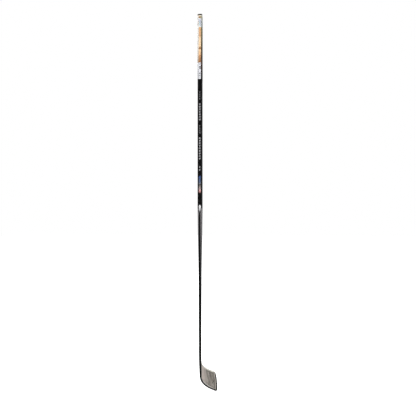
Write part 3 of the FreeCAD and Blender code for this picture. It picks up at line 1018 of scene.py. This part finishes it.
pick(blank, "faces", lambda face: face.normal.z > FACING and abs(face.center.z - neck_top) < TOUCH)
bpy.ops.mesh.dissolve_faces()
bpy.ops.mesh.inset(thickness=TENON_INSET * MM)
bpy.ops.mesh.extrude_region_move(TRANSFORM_OT_translate={"value": (0, 0, (TENON_TOP - NECK_TOP) * MM)})
for step in range(1, round(TOE_HEIGHT / RISE_STEP)):
    cut(blank, *from_blade(0.0, step * RISE_STEP), rise_y, rise_z)
cut(blank, *from_blade(TOE_BORDER_RUN, 0.0), run_y, run_z)
cut(blank, SPLIT_Y, 0.0, 1.0, 0.0)
cut(blank, 0.0, SPLIT_Z, 0.0, 1.0)
bpy.ops.mesh.select_all(action="SELECT")
bpy.ops.mesh.remove_doubles(threshold=SAME_POINT * MM)
let_go()
for vertex in blank.data.vertices:
    run, rise = to_blade(vertex.co.y / MM, vertex.co.z / MM)
    vertex.co.x = vertex.co.x * thickness(run) / BLANK + middle(run, rise) * MM
print("bent blank:", len(blank.data.polygons), "faces")

# %% [markdown]
# ## Taking the blank apart
# The real blade is laid up from separate parts: neck with heel, two face laminates, the border round sole
# and toe, and the strip along the top. Each is a group of faces of the blank, so it is split off by where
# its faces are. The neck is solid, so its open end is filled. The others get a wall that grows inwards, and
# room stays inside for the foam cores.

# %% Split into pieces
STRIPE_START = 62.0
TOP_PLAIN = 12.0
SKIN_WALL = 1.0


def where_on_blade(face):
    """Run, rise and side (positive on the forehand) of a face."""
    run, rise = to_blade(face.center.y / MM, face.center.z / MM)
    return run, rise, face.center.x - middle(run, rise) * MM


def in_neck(face):
    """The neck and heel: behind the split, or above it."""
    return face.center.y < SPLIT_Y * MM or face.center.z > SPLIT_Z * MM


def on_top(face):
    """The strip along the top line."""
    run, rise, _ = where_on_blade(face)
    return face.material_index == EDGE and rise > HEEL_HEIGHT / 2 and run < TOE_BORDER_RUN


def split_off(name, test, wall, finish, slot, node):
    """Separate the faces that pass the test, give them a wall or fill the open end, and finish the piece."""
    found = pick(blank, "faces", test)
    before = set(bpy.data.objects)
    bpy.ops.mesh.separate(type="SELECTED")
    let_go()
    part = (set(bpy.data.objects) - before).pop()
    hold(part)
    if wall:
        apply_modifier(part, "SOLIDIFY", thickness=wall * MM, offset=-1.0, use_quality_normals=True)
    else:
        pick(part, "edges", lambda edge: False)
        bpy.ops.mesh.select_non_manifold()
        bpy.ops.mesh.fill()
        let_go()
    bpy.ops.object.material_slot_remove_unused()
    print(name, "took", found, "faces of the blank")
    finish_piece(settle(part, name), finish, slot, node)


for face in blank.data.polygons:
    run, rise, _ = where_on_blade(face)
    plain = run < STRIPE_START or (rise > top_rise(run) - TOP_PLAIN and run < TOE_BORDER_RUN)
    if face.material_index in (STRIPE, LINE) and plain:
        face.material_index = FACE

split_off("neck_and_heel", in_neck, None, hosel_black, "black_hosel", "hosel")
split_off("top_edge", on_top, SKIN_WALL, pale_edge, "pale_edge", "top_edge_strip")
split_off("sole_and_toe_border", lambda face: face.material_index == EDGE, SKIN_WALL, dark_border,
          "black_edge", "sole_and_toe_edge")
split_off("forehand_face", lambda face: where_on_blade(face)[2] > 0, SKIN_WALL, None, "taupe_blade",
          "forehand_skin")
split_off("backhand_face", lambda face: True, SKIN_WALL, None, "taupe_blade", "backhand_skin")
bpy.data.objects.remove(blank)

# %% [markdown]
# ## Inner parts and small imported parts
# The stickers, prints, glue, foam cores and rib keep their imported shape, which is already right. They only
# need a finish. Most are hidden, but someone who takes the stick apart sees honey-coloured glue,
# closed-cell foam and a dark laminate rib.

# %% Finishes of the inner parts
def glue(name, light, deep):
    """Hardened glue: cloudy, with small bubbles and a glossy skin."""
    made, point, x, y, z = begin(name)
    clouds = noise(point, 120.0, 5.0)
    bubbles = put("TexVoronoi", Vector=point, Scale=700.0).outputs[0]
    colour = mix(clouds, light, deep)
    colour = mix(fade(bubbles, 0.12, 0.2, 0.4, 0.0), colour, paint(250, 240, 214))
    return surface(made, colour, times_plus(clouds, 0.2, 0.12), bubbles, depth=0.1, strength=0.3,
                   Subsurface_Weight=0.2, Subsurface_Scale=2 * MM)


hot_glue = glue("hot_glue", paint(232, 214, 168), paint(206, 176, 112))
epoxy = glue("epoxy", paint(198, 160, 84), paint(150, 108, 46))

made, point, x, y, z = begin("blade_foam")
cells = put("TexVoronoi", {"feature": "DISTANCE_TO_EDGE"}, Vector=point, Scale=900.0).outputs[0]
tint = noise(point, 60.0, 3.0)
walls = fade(cells, 0.02, 0.12)
colour = mix(tint, paint(226, 214, 178), paint(242, 236, 212))
colour = mix(walls, colour, paint(196, 180, 138))
foam = surface(made, colour, times_plus(tint, 0.1, 0.8), walls, depth=0.3, strength=0.6)

made, point, x, y, z = begin("rib_resin")
along = stretched(point, 900.0, 120.0, 120.0, turn=(LIE, 0, 0))
fibres = use(streaks, Vector=along, Contrast=2.5)
colour = mix(fibres["Value"], paint(34, 34, 36), paint(72, 70, 70))
rib = surface(made, colour, times_plus(fibres["Fine"], 0.25, 0.35), fibres["Height"], depth=0.05)

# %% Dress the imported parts
packed = dict(inks, round_sticker=orange_vinyl, panel_sticker=blue_grey_vinyl, plug_glue=hot_glue,
              tenon_glue=epoxy, upper_core=foam, lower_core=foam, core_rib=rib)
for name, finish in packed.items():
    for place in frame["nodes"][name].material_slots:
        place.material = finish
bare = [name for name, node in frame["nodes"].items() if not node.material_slots]
print("nodes with no slot:", bare)

# %% [markdown]
# ## Studio
# The stick stands upright, as if a thread held it, over a pale floor that runs into a white background.
# The floor also glows as painted light: less near the stick, where the lamps light it, and fully far away.
# Large soft lights stand in front, at both sides and above. The black faces have to stay black, so the
# lights in front and the floor are kept out of their mirror reflections, and the surroundings are bright
# only behind the stick and at its sides.

# %% World, floor and lights
AIR_CHANGE = (-0.1, 1.0)
AIR_TONES = (0.03, 0.34)
FLOOR_GAP = 2 * MM
FLOOR_SIZE = 14.0
GLOW_REACH = (0.2, 2.2)
GLOW_NEAR = 0.62

scene = bpy.context.scene
scene.view_settings.view_transform = "Standard"
world = bpy.data.worlds.new("studio")
scene.world = world
world.use_nodes = True
air = world.node_tree
background = air.nodes["Background"]
heading = put("SeparateXYZ", Vector=put("TexCoord", tree=air).outputs["Generated"]).outputs
behind = fade(heading[1], *AIR_CHANGE, *AIR_TONES)
seen = put("LightPath", tree=air).outputs["Is Camera Ray"]
feed(background.inputs["Color"], mix(seen, behind, grey(1.0)))
background.inputs["Strength"].default_value = 1.0

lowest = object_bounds()[0]
let_go()
bpy.ops.mesh.primitive_plane_add(size=FLOOR_SIZE, location=(0, 0, lowest.z - FLOOR_GAP))
floor = bpy.context.object
floor.name = "floor"
made, point, x, y, z = begin("pale_glowing_floor")
cloud = noise(point, 3.0, 3.0)
away = maths("SQRT", times_plus(x, x, times(y, y)))
# Painted light: the floor glows, dimmer near the stick where the lamps reach it and full far away, so it
# stays white.
glow = mix(fade(away, *GLOW_REACH), grey(GLOW_NEAR), grey(1.0))
surface(made, mix(cloud, grey(0.86), grey(0.90)), 0.9, Emission_Strength=1.0)
feed(made.node_tree.nodes["Principled BSDF"].inputs["Emission Color"], glow)
floor.data.materials.append(made)
floor.visible_glossy = False


def softbox(name, place, target, size, power):
    """A square area light that points at a place and isn't mirrored in glossy faces."""
    let_go()
    bpy.ops.object.light_add(type="AREA", location=place)
    lamp = bpy.context.object
    lamp.name = name
    lamp.data.size = size
    lamp.data.energy = power
    lamp.rotation_euler = (Vector(target) - Vector(place)).to_track_quat("-Z", "Y").to_euler()
    lamp.visible_glossy = False


MIDDLE = (0.0, 0.0, -0.75)
BLADE = (0.0, 0.0, -1.7)
for name, place, target, size, power in (("front_light", (-0.7, -3.0, -0.1), MIDDLE, 1.8, 51.0),
                                         ("right_light", (2.6, -0.8, -0.2), MIDDLE, 1.6, 22.0),
                                         ("left_light", (-2.6, -0.6, -0.2), MIDDLE, 1.6, 22.0),
                                         ("top_light", (0.0, 0.4, 2.2), BLADE, 3.0, 210.0)):
    softbox(name, place, target, size, power)
print("lights:", [lamp.name for lamp in bpy.data.lights])

# %% [markdown]
# ## Camera
# The camera is level and about a metre behind the stick's narrow back face, at half its height, so the
# shaft stands upright in the picture and the blade, which points away, is seen from a little above. The
# camera stands three and a half degrees round to one side, so that a little of the shaft's wide sides
# shows.

# %% Camera
CAMERA_TURN = math.radians(3.5)
CAMERA_BACK = 1.015
CAMERA_SIDE = 33 * MM
CAMERA_HEIGHT = -804 * MM
LENS = 20.92
SENSOR = 36.0
place = (CAMERA_SIDE * math.cos(CAMERA_TURN) + CAMERA_BACK * math.sin(CAMERA_TURN),
         CAMERA_SIDE * math.sin(CAMERA_TURN) - CAMERA_BACK * math.cos(CAMERA_TURN), CAMERA_HEIGHT)
bpy.ops.object.camera_add(location=place, rotation=(math.radians(90), 0, CAMERA_TURN))
camera = bpy.context.object
camera.data.lens = LENS
camera.data.sensor_width = SENSOR
camera.data.dof.use_dof = False
scene.camera = camera
print("camera at", [round(value, 3) for value in place])
